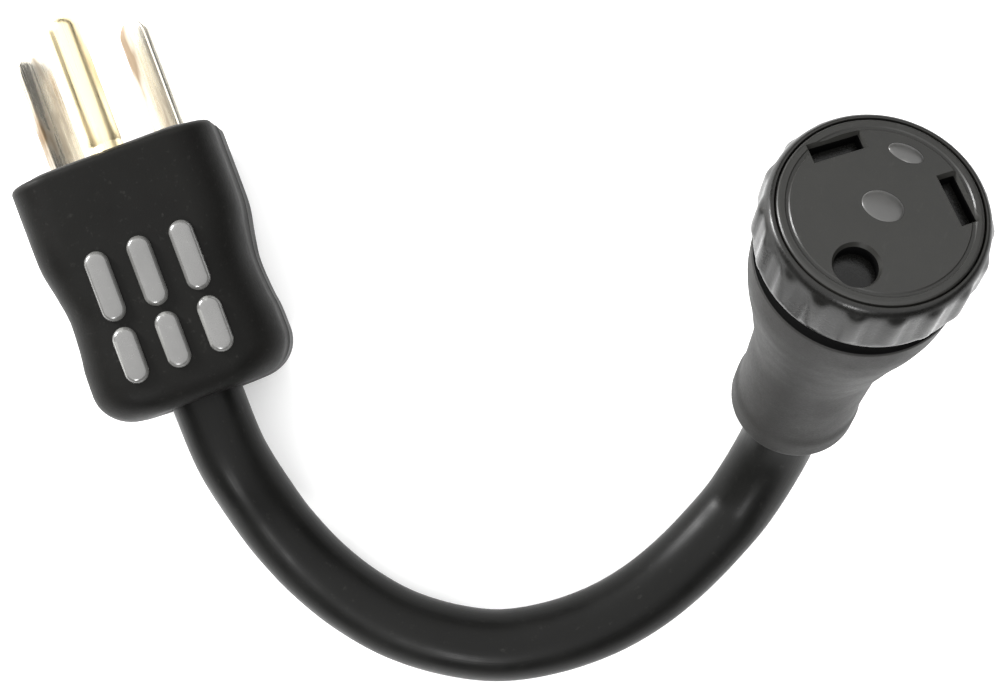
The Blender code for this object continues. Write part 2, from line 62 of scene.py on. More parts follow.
MM = 0.001

# Sizes that the CAD model uses too, in millimetres and degrees.
PLUG_LENGTH = 47.0
CONNECTOR_LENGTH = 71.4
CONNECTOR_ROLL = -15.0
BLADE_SPREAD = 10.1
BLADE_DROP = 7.5
BLADE_SLANT = 45.0
BLADE_HALF = (3.85, 0.85)
BLADE_REACH = 24.5
GROUND_RISE = 10.5
GROUND_PIN_RADIUS = 3.15
GROUND_PIN_REACH = 26.5
JACKET_RADIUS = 6.8
CORD_IN_PLUG = 10.5
CORD_IN_CONNECTOR = 14.0
CARRIER = (15.2, 15.0, 4.0)
INSERT_RADIUS = 16.2
GROOVE = (-15.7, -11.5)  # lower and upper edge of the groove behind the flange, whose faces take painted shade

# The cord's centre line outside the housings, in metres, from the plug's rear to the neck's end.
ROUTE = [
    (-0.04644, -0.03077, 0.01700),
    (-0.04204, -0.04177, 0.01590),
    (-0.03614, -0.05197, 0.01120),
    (-0.03180, -0.05789, 0.00898),
    (-0.02634, -0.06377, 0.00730),
    (-0.01952, -0.06920, 0.00687),
    (-0.01154, -0.07367, 0.00690),
    (-0.00230, -0.07663, 0.00688),
    (0.00746, -0.07777, 0.00690),
    (0.01722, -0.07630, 0.00690),
    (0.02646, -0.07307, 0.00690),
    (0.03430, -0.06863, 0.00687),
    (0.04126, -0.06307, 0.00690),
    (0.04781, -0.05629, 0.00769),
    (0.05316, -0.04947, 0.00940),
    (0.05836, -0.03917, 0.01670),
    (0.06006, -0.03097, 0.02750),
]

CAMERA_PLACE = (0.00746, -0.02137, 0.4525)

MOUNTS = {mount["name"]: mount for mount in frame["record"]["mounts"]}
SLOTS = {part["node"]: part["material_slot"] for part in frame["record"]["subparts"]}


def end_frame(mount_name, face_point, roll):
    """The matrix of one end, from the mount that sits at face_point on its front face."""
    mount = MOUNTS[mount_name]
    out = Vector(mount["axis"]).normalized()
    level_up = (Vector((0, 0, 1)) - out * out.z).normalized()
    ground_side = Matrix.Rotation(math.radians(roll), 3, out) @ level_up
    axes = Matrix((ground_side.cross(out), ground_side, out)).transposed()
    place = axes.to_4x4()
    place.translation = Vector(mount["pos_m"]) - axes @ Vector(face_point) * MM
    return place


PLUG = end_frame("plug_face", (0, -2, 0.5), 0.0)
CONNECTOR = end_frame("connector_face", (0, 0, 0.2), CONNECTOR_ROLL)


# ---------------------------------------------------------------- camera, light, floor


def build_camera():
    camera = bpy.data.cameras.new("camera")
    camera.lens = 85
    camera.sensor_width = 36
    camera.clip_start = 0.01
    obj = bpy.data.objects.new("camera", camera)
    obj.location = CAMERA_PLACE
    bpy.context.scene.collection.objects.link(obj)
    bpy.context.scene.camera = obj


def softbox(name, place, target, size, power, colour=(1, 1, 1)):
    """An area light at place, turned towards target."""
    light = bpy.data.lights.new(name, "AREA")
    light.shape = "RECTANGLE"
    light.size, light.size_y = size
    light.energy = power
    light.color = colour
    obj = bpy.data.objects.new(name, light)
    obj.location = place
    obj.rotation_euler = (Vector(target) - Vector(place)).to_track_quat("-Z", "Y").to_euler()
    bpy.context.scene.collection.objects.link(obj)


def build_studio():
    world = bpy.data.worlds.new("studio")
    world.use_nodes = True
    world.node_tree.nodes["Background"].inputs["Color"].default_value = (0.95, 0.97, 1.0, 1)
    world.node_tree.nodes["Background"].inputs["Strength"].default_value = 0.15
    bpy.context.scene.world = world
    bpy.context.scene.view_settings.view_transform = "Standard"
    softbox("overhead", (0.0, 0.35, 1.0), (0, 0.35, 0), (2.6, 2.6), 47.0)
    softbox("left_accent", (-0.7, 0.35, 0.30), (0.05, 0, 0.08), (0.2, 0.2), 16.0)
    softbox("front_accent", (-0.15, -0.75, 0.7), (0.06, 0, 0.08), (0.16, 0.16), 5.0)


# ---------------------------------------------------------------- materials


def node(tree, kind, inputs=None, **settings):
    """A new node. A socket among the inputs is linked, and any other value is set."""
    made = tree.nodes.new(kind)
    for name, value in settings.items():
        setattr(made, name, value)
    for name, value in (inputs or {}).items():
        if isinstance(value, bpy.types.NodeSocket):
            tree.links.new(value, made.inputs[name])
        else:
            made.inputs[name].default_value = value
    return made


def noise(tree, where, scale, detail=3.0, rough=0.5):
    inputs = {"Vector": where, "Scale": scale, "Detail": detail, "Roughness": rough}
    return node(tree, "ShaderNodeTexNoise", inputs).outputs["Fac"]


def ranged(tree, value, low, high, to_low, to_high):
    inputs = {"Value": value, "From Min": low, "From Max": high, "To Min": to_low, "To Max": to_high}
    return node(tree, "ShaderNodeMapRange", inputs).outputs["Result"]


def tinted(tree, amount, low, high):
    """A colour between low and high, by amount."""
    mix = node(tree, "ShaderNodeMix", {"Factor": amount}, data_type="RGBA")
    for socket, colour in ((mix.inputs[6], low), (mix.inputs[7], high)):
        if isinstance(colour, bpy.types.NodeSocket):
            tree.links.new(colour, socket)
        else:
            socket.default_value = (*colour, 1)
    return mix.outputs[2]


def added(tree, first, second, operation="ADD"):
    maths = node(tree, "ShaderNodeMath", operation=operation)
    for socket, value in zip(maths.inputs, (first, second)):
        if isinstance(value, bpy.types.NodeSocket):
            tree.links.new(value, socket)
        else:
            socket.default_value = value
    return maths.outputs[0]


def bumped(tree, height, distance, strength, before=None):
    """A bump of that height in metres, on top of the one before it."""
    inputs = {"Height": height, "Distance": distance, "Strength": strength}
    if before:
        inputs["Normal"] = before
    return node(tree, "ShaderNodeBump", inputs).outputs["Normal"]


def stretched(tree, where, factors):
    return node(tree, "ShaderNodeMapping", {"Vector": where, "Scale": factors}).outputs["Vector"]


def new_material(name):
    material = bpy.data.materials.new(name)
    material.use_nodes = True
    tree = material.node_tree
    where = node(tree, "ShaderNodeTexCoord").outputs["Object"]
    return material, tree, tree.nodes["Principled BSDF"], where


def moulded(name, colour, worn, roughness, grain, grain_height, specular, wear):
    """Moulded plastic: spark-eroded grain, cloudy gloss, faint scuffs, and paler rubbed edges."""
    material, tree, shader, where = new_material(name)
    clouds = noise(tree, where, 140.0, 4.0, 0.6)
    fine = noise(tree, where, grain, 2.0)
    scuffs = noise(tree, stretched(tree, where, (1.0, 0.35, 1.0)), 900.0, 5.0, 0.7)
    scuff_marks = ranged(tree, scuffs, 0.60, 0.74, 0.0, 1.0)
    pointed = node(tree, "ShaderNodeNewGeometry").outputs["Pointiness"]
    edges = ranged(tree, pointed, 0.52, 0.60, 0.0, wear)
    rubbed = added(tree, edges, added(tree, scuff_marks, 0.22, "MULTIPLY"), "MAXIMUM")
    body = tinted(tree, clouds, [c * 0.75 for c in colour], [c * 1.3 for c in colour])
    tree.links.new(tinted(tree, rubbed, body, worn), shader.inputs["Base Color"])
    cloudy = ranged(tree, clouds, 0.3, 0.7, roughness - 0.06, roughness + 0.06)
    gloss = added(tree, cloudy, ranged(tree, fine, 0.3, 0.7, -0.03, 0.03))
    tree.links.new(gloss, shader.inputs["Roughness"])
    shader.inputs["Specular IOR Level"].default_value = specular
    grained = bumped(tree, fine, grain_height, 0.8)
    tree.links.new(bumped(tree, clouds, 0.00012, 0.35, grained), shader.inputs["Normal"])
    return material


def metal(name, colour, stain, roughness, stain_amount, plated):
    """Drawn or plated metal: lengthwise draw lines, handling marks, and brown stains that run along it."""
    material, tree, shader, where = new_material(name)
    lines = noise(tree, stretched(tree, where, (1.0, 1.0, 0.03)), 2600.0, 3.0, 0.6)
    patches = noise(tree, stretched(tree, where, (1.0, 1.0, 0.22)), 200.0, 3.0, 0.55)
    marks = ranged(tree, patches, 0.50, 0.66, 0.0, stain_amount)
    tree.links.new(tinted(tree, marks, colour, stain), shader.inputs["Base Color"])
    gloss = ranged(tree, lines, 0.3, 0.7, roughness - 0.07, roughness + 0.09)
    tree.links.new(added(tree, gloss, added(tree, marks, 0.25, "MULTIPLY")), shader.inputs["Roughness"])
    shader.inputs["Metallic"].default_value = 1.0
    shader.inputs["Coat Weight"].default_value = plated
    shader.inputs["Coat Roughness"].default_value = 0.12
    tree.links.new(bumped(tree, lines, 0.000012, 0.6), shader.inputs["Normal"])
    return material


def sheath(name, colour, worn, roughness, specular):
    """Extruded sheath: lines along its length (U runs round it, V along it), soft marks and light dust."""
    material, tree, shader, where = new_material(name)
    around = node(tree, "ShaderNodeTexCoord").outputs["UV"]
    lines = noise(tree, stretched(tree, around, (160.0, 6.0, 1.0)), 1.0, 3.0, 0.6)
    clouds = noise(tree, where, 110.0, 4.0, 0.6)
    fine = noise(tree, where, 3800.0, 2.0)
    scuffs = noise(tree, stretched(tree, around, (14.0, 40.0, 1.0)), 2.0, 6.0, 0.72)
    marks = ranged(tree, scuffs, 0.60, 0.76, 0.0, 0.35)
    body = tinted(tree, clouds, [c * 0.75 for c in colour], [c * 1.3 for c in colour])
    tree.links.new(tinted(tree, marks, body, worn), shader.inputs["Base Color"])
    cloudy = ranged(tree, clouds, 0.3, 0.7, roughness - 0.05, roughness + 0.07)
    gloss = added(tree, cloudy, ranged(tree, lines, 0.3, 0.7, -0.05, 0.05))
    tree.links.new(gloss, shader.inputs["Roughness"])
    shader.inputs["Specular IOR Level"].default_value = specular
    drawn = bumped(tree, lines, 0.00003, 0.5)
    tree.links.new(bumped(tree, fine, 0.00001, 0.5, drawn), shader.inputs["Normal"])
    return material


def fibrous(name, colour, dark):
    """Twisted fibre or bare strands: fine diagonal lines and a rough surface."""
    material, tree, shader, where = new_material(name)
    strands = noise(tree, stretched(tree, where, (1.0, 0.25, 0.6)), 3200.0, 4.0, 0.7)
    tree.links.new(tinted(tree, strands, dark, colour), shader.inputs["Base Color"])
    tree.links.new(ranged(tree, strands, 0.3, 0.7, 0.75, 0.95), shader.inputs["Roughness"])
    tree.links.new(bumped(tree, strands, 0.00008, 0.8), shader.inputs["Normal"])
    return material


def build_materials():
    """Every finish by name. Colours are linear, and bump sizes are in metres."""
    black, worn = (0.004, 0.0039, 0.0035), (0.04, 0.039, 0.036)
    pale_worn, core_worn = (0.2, 0.2, 0.19), (0.2, 0.2, 0.2)
    # name: (colour, worn colour, roughness, grain scale, grain height, specular level, edge wear)
    plastics = {
        "soft_black_pvc": (black, worn, 0.5, 2600.0, 0.00003, 0.07, 0.5),
        # The neck's colour is paler than the plain black PVC, which paints light on the neck.
        "matte_neck_pvc_painted_light": ((0.009, 0.0086, 0.0079), worn, 0.6, 2600.0, 0.00003, 0.22, 0.5),
        "flange_black_pvc": (black, worn, 0.3, 2600.0, 0.00002, 0.22, 0.5),
        # Near-black and matte: painted shade on the groove behind the flange and on the walls inside the
        # face's slots.
        "painted_shade": ((0.002, 0.002, 0.002), black, 0.9, 2600.0, 0.00003, 0.02, 0.0),
        # The raised marks' colour is paler than the insert's black nylon, which paints a highlight on them.
        "glossy_marks_painted_sheen": ((0.024, 0.0235, 0.022), worn, 0.36, 1500.0, 0.00001, 0.7, 0.5),
        # The pads' grey colour is painted sheen on the plug's black PVC; their gloss is their own.
        "polished_pads_painted_sheen": ((0.07, 0.069, 0.066), pale_worn, 0.24, 1500.0, 0.00001, 1.0, 0.5),
        "hard_black_nylon": ((0.013, 0.0128, 0.0115), worn, 0.4, 3400.0, 0.00001, 0.3, 0.0),
        "line_black": ((0.015, 0.015, 0.015), core_worn, 0.4, 3000.0, 0.00001, 0.5, 0.5),
        "neutral_white": ((0.75, 0.75, 0.72), core_worn, 0.4, 3000.0, 0.00001, 0.5, 0.5),
        "ground_green": ((0.02, 0.26, 0.06), core_worn, 0.4, 3000.0, 0.00001, 0.5, 0.5),
    }
    # name: (colour, stain colour, roughness, stain amount, coat weight)
    metals = {
        "nickel_plated_brass": ((0.71, 0.67, 0.58), (0.20, 0.125, 0.06), 0.24, 0.85, 0.1),
        "brass": ((0.72, 0.61, 0.38), (0.30, 0.19, 0.08), 0.3, 0.75, 0.0),
        "copper": ((0.86, 0.45, 0.28), (0.35, 0.14, 0.07), 0.3, 0.4, 0.0),
    }
    materials = {name: moulded(name, *values) for name, values in plastics.items()}
    materials |= {name: metal(name, *values) for name, values in metals.items()}
    materials["jacket_black"] = sheath("jacket_black", (0.0034, 0.0034, 0.0031), worn, 0.38, 0.11)
    materials["filler_fibre"] = fibrous("filler_fibre", (0.58, 0.50, 0.38), (0.30, 0.24, 0.16))
    return materials


build_camera()
build_studio()
MATERIALS = build_materials()


def build_floor():
    material, tree, shader, where = new_material("floor")
    mottle = noise(tree, where, 14.0, 3.0)
    pale = tinted(tree, mottle, (0.93, 0.93, 0.925), (0.96, 0.96, 0.955))
    tree.links.new(pale, shader.inputs["Base Color"])
    shader.inputs["Roughness"].default_value = 0.9
    shader.inputs["Specular IOR Level"].default_value = 0.1
    shader.inputs["Emission Color"].default_value = (1, 1, 1, 1)
    shader.inputs["Emission Strength"].default_value = 0.14
    shape = bmesh.new()
    bmesh.ops.create_grid(shape, x_segments=2, y_segments=2, size=4.0)
    mesh = bpy.data.meshes.new("floor")
    shape.to_mesh(mesh)
    shape.free()
    mesh.materials.append(material)
    floor = bpy.data.objects.new("floor", mesh)
    floor.location = (0, 0, CAD_BOX[0].z - 0.0001)
    bpy.context.scene.collection.objects.link(floor)


# ---------------------------------------------------------------- shapes


def smooth(obj, angle=32.0):
    obj.data.shade_smooth()
    obj.data.set_sharp_from_angle(angle=math.radians(angle))


def as_object(name, shape, place):
    """A bmesh in millimetres as a scene object in metres, in the frame of one end."""
    bmesh.ops.scale(shape, vec=(MM, MM, MM), verts=shape.verts)
    bmesh.ops.recalc_face_normals(shape, faces=shape.faces)
    mesh = bpy.data.meshes.new(name)
    shape.to_mesh(mesh)
    shape.free()
    obj = bpy.data.objects.new(name, mesh)
    obj.matrix_world = place
    bpy.context.scene.collection.objects.link(obj)
    return obj


def finished(obj, slot, replaced=(), material=None, angle=32.0):
    """Gives a piece its material, shades it smooth, hangs it on the root body, and hides the CAD parts that
    it replaces.
    """
    obj.data.materials.clear()
    obj.data.materials.append(MATERIALS[material or slot])
    smooth(obj, angle)
    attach(obj, "root")
    if replaced:
        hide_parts(*replaced)
    return obj


def loft(rings, ends=True):
    """A body through rings of equally many points, from the first ring to the last."""
    shape = bmesh.new()
    levels = [[shape.verts.new(point) for point in ring] for ring in rings]
    count = len(levels[0])
    for low, high in zip(levels, levels[1:]):
        for i in range(count):
            j = (i + 1) % count
            shape.faces.new((low[i], low[j], high[j], high[i]))
    if ends:
        shape.faces.new(reversed(levels[0]))
        shape.faces.new(levels[-1])
    return shape


def lathe(profile, steps):
    """A turned body from (z, radius) pairs. Its ends close with flat caps."""
    rings = []
    for z, radius in profile:
        angles = [2 * math.pi * i / steps for i in range(steps)]
        rings.append([(radius * math.cos(a), radius * math.sin(a), z) for a in angles])
    return loft(rings)


def applied(obj):
    """Makes the object's mesh what its modifiers show, and removes them."""
    bpy.context.view_layer.update()
    graph = bpy.context.evaluated_depsgraph_get()
    mesh = bpy.data.meshes.new_from_object(obj.evaluated_get(graph), depsgraph=graph)
    obj.modifiers.clear()
    obj.data = mesh
    return obj


def cut(obj, cutters):
    """Cuts the cutters out of the object and throws them away."""
    for cutter in cutters:
        boolean = obj.modifiers.new("Cut", "BOOLEAN")
        boolean.operation = "DIFFERENCE"
        boolean.solver = "EXACT"
        boolean.object = cutter
    applied(obj)
    for cutter in cutters:
        bpy.data.objects.remove(cutter)
    return obj


def flat_across(obj):
    """Keeps the faces that square on to the part's axis flat, so that round edges don't shade them."""
    for polygon in obj.data.polygons:
        if abs(polygon.normal.z) > 0.9995:
            polygon.use_smooth = False


def fillet(z, radius, size, from_angle, to_angle, steps=5):
    """(z, radius) pairs along a quarter round of that size, centred at (z, radius)."""
    pairs = []
    for i in range(steps + 1):
        angle = math.radians(from_angle + (to_angle - from_angle) * i / steps)
        pairs.append((z + size * math.sin(angle), radius + size * math.cos(angle)))
    return pairs


def spline(keys, per_span=4):
    """Rows of numbers joined smoothly: a curve through each column, with no overshoot past its keys."""
    rows = []
    for index in range(len(keys) - 1):
        before = keys[max(index - 1, 0)]
        start, end = keys[index], keys[index + 1]
        after = keys[min(index + 2, len(keys) - 1)]
        for step in range(per_span):
            t = step / per_span
            row = []
            for a, b, c, d in zip(before, start, end, after):
                bend = (2 * a - 5 * b + 4 * c - d) * t**2 + (3 * b - a - 3 * c + d) * t**3
                value = b + ((c - a) * t + bend) / 2
                row.append(min(max(value, min(b, c)), max(b, c)))
            rows.append(tuple(row))
    rows.append(tuple(keys[-1]))
    return rows


def catmull_rom(points, samples=12):
    """A smooth curve through the points, as the CAD model's cord has it."""
    padded = [2 * points[0] - points[1], *points, 2 * points[-1] - points[-2]]
    curve = []
    for a, b, c, d in zip(padded, padded[1:], padded[2:], padded[3:]):
        for i in range(samples):
            t = i / samples
            swing = (2 * a - 5 * b + 4 * c - d) * t**2 + (3 * b - a - 3 * c + d) * t**3
            curve.append(0.5 * (2 * b + (c - a) * t + swing))
    curve.append(points[-1])
    return curve


# ---------------------------------------------------------------- cord


def even_points(curve, count):
    """That many points along the curve, evenly spaced."""
    lengths = [0.0]
    for a, b in zip(curve, curve[1:]):
        lengths.append(lengths[-1] + (b - a).length)
    result, segment = [], 0
    for i in range(count):
        target = lengths[-1] * i / (count - 1)
        while segment < len(curve) - 2 and lengths[segment + 1] < target:
            segment += 1
        span = lengths[segment + 1] - lengths[segment]
        result.append(curve[segment].lerp(curve[segment + 1], (target - lengths[segment]) / span))
    return result, lengths[-1]


def build_cord():
    """The jacket: a tube whose surface rises a little over the three cores that wind inside it."""
    start = PLUG @ (Vector((0, 0, -PLUG_LENGTH + CORD_IN_PLUG)) * MM)
    end = CONNECTOR @ (Vector((0, 0, -CONNECTOR_LENGTH + CORD_IN_CONNECTOR)) * MM)
    route = [start, *[Vector(point) for point in ROUTE], end]
    points, length = even_points(catmull_rom(route, 24), 221)
    steps, turns, rise = 56, 1.0, 0.03
    side = PLUG.to_3x3().col[0]
    shape = bmesh.new()
    layer = shape.loops.layers.uv.new("UVMap")
    levels = []
    for index, point in enumerate(points):
        ahead, behind = points[min(index + 1, len(points) - 1)], points[max(index - 1, 0)]
        tangent = (ahead - behind).normalized()
        side = (side - tangent * side.dot(tangent)).normalized()
        across = tangent.cross(side)
        part = index / (len(points) - 1)
        ring = []
        for i in range(steps):
            angle = 2 * math.pi * i / steps
            core = math.cos(3 * (angle - 2 * math.pi * turns * part))
            radius = (JACKET_RADIUS - rise + rise * core) * MM
            ring.append(shape.verts.new(point + (side * math.cos(angle) + across * math.sin(angle)) * radius))
        levels.append(ring)
    for index, (low, high) in enumerate(zip(levels, levels[1:])):
        for i in range(steps):
            j = (i + 1) % steps
            face = shape.faces.new((low[i], low[j], high[j], high[i]))
            around = (i / steps, (i + 1) / steps, (i + 1) / steps, i / steps)
            along = (index, index, index + 1, index + 1)
            for loop, u, v in zip(face.loops, around, along):
                loop[layer].uv = (u, v / (len(points) - 1))
    shape.faces.new(reversed(levels[0]))
    shape.faces.new(levels[-1])
    mesh = bpy.data.meshes.new("cord")
    shape.to_mesh(mesh)
    shape.free()
    obj = bpy.data.objects.new("cord", mesh)
    bpy.context.scene.collection.objects.link(obj)
    finished(obj, "jacket_black", ["cord_jacket"])


# ---------------------------------------------------------------- plug


def outline(half_width, half_height, corner, seam=0.0):
    """A rectangle with round corners, anticlockwise, with a low moulding seam along each narrow side."""
    corner = min(corner, half_width - 0.02, half_height - 0.5)
    points = []
    for quarter in range(4):
        sign_x = 1 if quarter in (0, 3) else -1
        sign_y = 1 if quarter in (0, 1) else -1
        for i in range(11):
            angle = math.radians(90 * (quarter + i / 10))
            x = sign_x * (half_width - corner) + corner * math.cos(angle)
            y = sign_y * (half_height - corner) + corner * math.sin(angle)
            points.append((x, y))
        if quarter in (1, 3):
            edge = -half_width if quarter == 1 else half_width
            down = 1 if quarter == 1 else -1
            for offset, out in ((0.35, 0.0), (0.15, seam), (-0.15, seam), (-0.35, 0.0)):
                points.append((edge * (1 + out / half_width), down * offset))
        else:
            level = half_height * sign_y
            points.append((0.0, level))
    return points


# How far the rim of the plug's cord hole lies ahead of its rear, and how much it opens out there.
HOLE_MOUTH = ((9.0, 0.0), (0.9, 0.0), (0.3, 0.25), (0.0, 0.9))


def plug_rows():
    """(z, half width, half height, corner) along the plug, from inside its cord hole to its front recess."""
    hole = JACKET_RADIUS + 0.12
    length = PLUG_LENGTH
    rows = [(-length + back, hole + out, hole + out, hole + out) for back, out in HOLE_MOUTH]
    rows.append((-length, 10.4, 11.2, 8.8))
    for i in range(13):
        angle = math.radians(90 * i / 12)
        inset = 1 - math.sin(angle)
        rows.append((-length + 7.0 * (1 - math.cos(angle)), 18.3 - 7.0 * inset, 17.0 - 5.0 * inset, 9.0))
    grip = [(-40.0, 18.3, 17.0, 9.0), (-35.5, 18.2, 17.0, 9.0), (-32.0, 17.75, 17.0, 9.0)]
    grip += [(-26.0, 17.45, 17.0, 9.0), (-21.0, 18.1, 17.0, 8.5), (-16.0, 19.0, 17.0, 8.0)]
    grip += [(-11.0, 19.15, 17.0, 8.0), (-1.6, 19.15, 17.0, 8.0)]
    rows += spline(grip)[1:]
    for i in range(1, 7):
        angle = math.radians(90 * i / 6)
        inset = 1.15 * (1 - math.cos(angle))
        rows.append((-1.2 + 1.2 * math.sin(angle), 19.15 - inset, 17.0 - inset, 7.8))
    width, height, corner = CARRIER
    recess = ((0.0, 0.45), (-0.3, 0.15), (-3.0, 0.15))
    return rows + [(z, width + out, height + out, corner + out) for z, out in recess]


def build_plug_body():
    rings = []
    for z, half_width, half_height, corner in plug_rows():
        seam = 0.10 if half_width > 12 and -PLUG_LENGTH + 1 < z < -0.5 else 0.0
        rings.append([(x, y, z) for x, y in outline(half_width, half_height, corner, seam)])
    finished(as_object("plug_body", loft(rings), PLUG), "soft_black_pvc", ["plug_overmould"])


def pill(shape, centre, length, width, height, floor):
    """A raised pad with round ends and a soft crown, standing on the plane y = floor."""
    steps, levels = 40, 9
    rings = []
    for level in range(levels):
        angle = math.radians(-20 + 110 * level / (levels - 1))
        shrink = math.cos(max(angle, 0))
        lift = height * (0.15 + 0.85 * math.sin(max(angle, 0))) if angle > 0 else -0.6
        reach = 0.3 + 0.7 * shrink**0.6
        ring = []
        for i in range(steps):
            turn = 2 * math.pi * i / steps
            x, z = math.cos(turn) * width / 2 * reach, math.sin(turn) * width / 2 * reach
            z += math.copysign((length - width) / 2, math.sin(turn)) * (0.9 + 0.1 * reach)
            ring.append(shape.verts.new((centre[0] + x, floor + lift, centre[1] + z)))
        rings.append(ring)
    for low, high in zip(rings, rings[1:]):
        for i in range(steps):
            j = (i + 1) % steps
            shape.faces.new((low[i], low[j], high[j], high[i]))
    shape.faces.new(rings[0])
    shape.faces.new(reversed(rings[-1]))


def build_grip_pads():
    for row, (z, length) in enumerate(((-22.6, 13.0), (-35.6, 10.4)), start=1):
        for column in (-1, 0, 1):
            shape = bmesh.new()
            pill(shape, (column * 8.0, z), length, 4.4, 1.25, 17.0)
            name = f"plug_grip_pad_{row}_{column + 2}"
            # The pads are the plug's black PVC, coloured grey as painted sheen.
            finished(as_object(name, shape, PLUG), "soft_black_pvc", material="polished_pads_painted_sheen", angle=50)


def blade_sides():
    """(name, side, slant) of the two blades. On the plug the line blade is on the -X side."""
    return (("neutral", 1, BLADE_SLANT), ("line", -1, -BLADE_SLANT))


def slot_cutter(name, side, slant, half_long, half_short, top, bottom, place, flare=0.0):
    """A box that cuts one slanted slot, or its lead-in chamfer when the top flares out."""
    shape = bmesh.new()
    bmesh.ops.create_cube(shape, size=1.0)
    bmesh.ops.scale(shape, vec=(2 * half_long, 2 * half_short, top - bottom), verts=shape.verts)
    for vert in shape.verts:
        if vert.co.z > 0:
            vert.co.x += math.copysign(flare, vert.co.x)
            vert.co.y += math.copysign(flare, vert.co.y)
    bmesh.ops.rotate(shape, matrix=Matrix.Rotation(math.radians(slant), 3, "Z"), verts=shape.verts)
    centre = (side * BLADE_SPREAD, -BLADE_DROP, (top + bottom) / 2)
    bmesh.ops.translate(shape, vec=centre, verts=shape.verts)
    return as_object(name, shape, place)


def hole_cutter(name, radius, top, bottom, place, centre=(0, GROUND_RISE)):
    shape = lathe([(bottom, radius), (top, radius)], 48)
    bmesh.ops.translate(shape, vec=(*centre, 0), verts=shape.verts)
    return as_object(name, shape, place)


def build_carrier():
    """The hard insert around the roots of the blades, with a rounded front edge and a raised collar line."""
    width, height, corner = CARRIER
    # (z, inset of the sides, inset of the corners)
    steps = [(-12.9, 0.0, 0.0), (-0.2, 0.0, 0.0), (0.1, 0.12, 0.1), (0.35, 0.4, 0.3)]
    steps += [(0.45, 0.8, 0.5), (0.45, 1.6, 0.9), (0.2, 1.9, 1.0)]
    rings = []
    for z, inset, tighter in steps:
        ring = outline(width - inset, height - inset, corner - tighter)
        rings.append([(x, y, z) for x, y in ring])
    carrier = as_object("blade_carrier", loft(rings), PLUG)
    cutters = [
        slot_cutter(f"{name}_cut", side, slant, 4.1, 1.1, 3.0, -14.0, PLUG)
        for name, side, slant in blade_sides()
    ]
    cutters.append(hole_cutter("ground_cut", GROUND_PIN_RADIUS + 0.25, 3.0, -14.0, PLUG))
    cut(carrier, cutters)
    finished(carrier, "hard_black_nylon", ["plug_blade_carrier"])
    flat_across(carrier)


def build_blades():
    """Flat blades with rounded long edges and a chamfered tip."""
    wide, thick = BLADE_HALF
    for name, side, slant in blade_sides():
        rows = [(z, wide, thick) for z in (-16.0, -1.0, 4.0, BLADE_REACH - 3.2)]
        rows += [(BLADE_REACH - 2.2, wide - 0.15, thick), (BLADE_REACH - 1.2, wide - 0.7, thick - 0.12)]
        rows += [(BLADE_REACH - 0.5, wide - 1.35, thick - 0.32), (BLADE_REACH - 0.1, wide - 1.9, thick - 0.5)]
        rows += [(BLADE_REACH, wide - 2.2, thick - 0.62)]
        turn = Matrix.Rotation(math.radians(slant), 2)
        rings = []
        for z, half_wide, half_thick in rows:
            ring = []
            for quarter in range(4):
                sign_x, sign_y = (1, 1, -1, -1)[quarter], (1, -1, -1, 1)[quarter]
                radius = min(0.38, half_thick * 0.85)
                for i in range(6):
                    angle = math.radians(90 * i / 5)
                    along, over = math.sin(angle), math.cos(angle)
                    if quarter % 2:
                        along, over = over, along
                    x = sign_x * (half_wide - radius + radius * along)
                    y = sign_y * (half_thick - radius + radius * over)
                    spot = turn @ Vector((x, y))
                    ring.append((spot.x + side * BLADE_SPREAD, spot.y - BLADE_DROP, z))
            rings.append(ring)
        blade = as_object(f"{name}_blade_finished", loft(rings), PLUG)
        finished(blade, "nickel_plated_brass", [f"{name}_blade"])


def build_ground_pin():
    """Round pin with a smooth domed tip and a fine turned ring near its root."""
    radius, reach = GROUND_PIN_RADIUS, GROUND_PIN_REACH
    profile = [(-16.0, 2.3), (-14.6, 2.3), (-14.4, radius), (1.4, radius), (1.6, radius - 0.12)]
    profile += [(2.0, radius - 0.12), (2.2, radius), (reach - 2.9, radius)]
    for i in range(1, 12):
        angle = math.radians(90 * i / 12)
        profile.append((reach - 2.8 * (1 - math.sin(angle)), 0.35 + (radius - 0.35) * math.cos(angle)))
    profile.append((reach, 0.35))
    shape = lathe(profile, 56)
    bmesh.ops.translate(shape, vec=(0, GROUND_RISE, 0), verts=shape.verts)
    finished(as_object("ground_pin_finished", shape, PLUG), "brass", ["ground_pin"])


# ---------------------------------------------------------------- connector


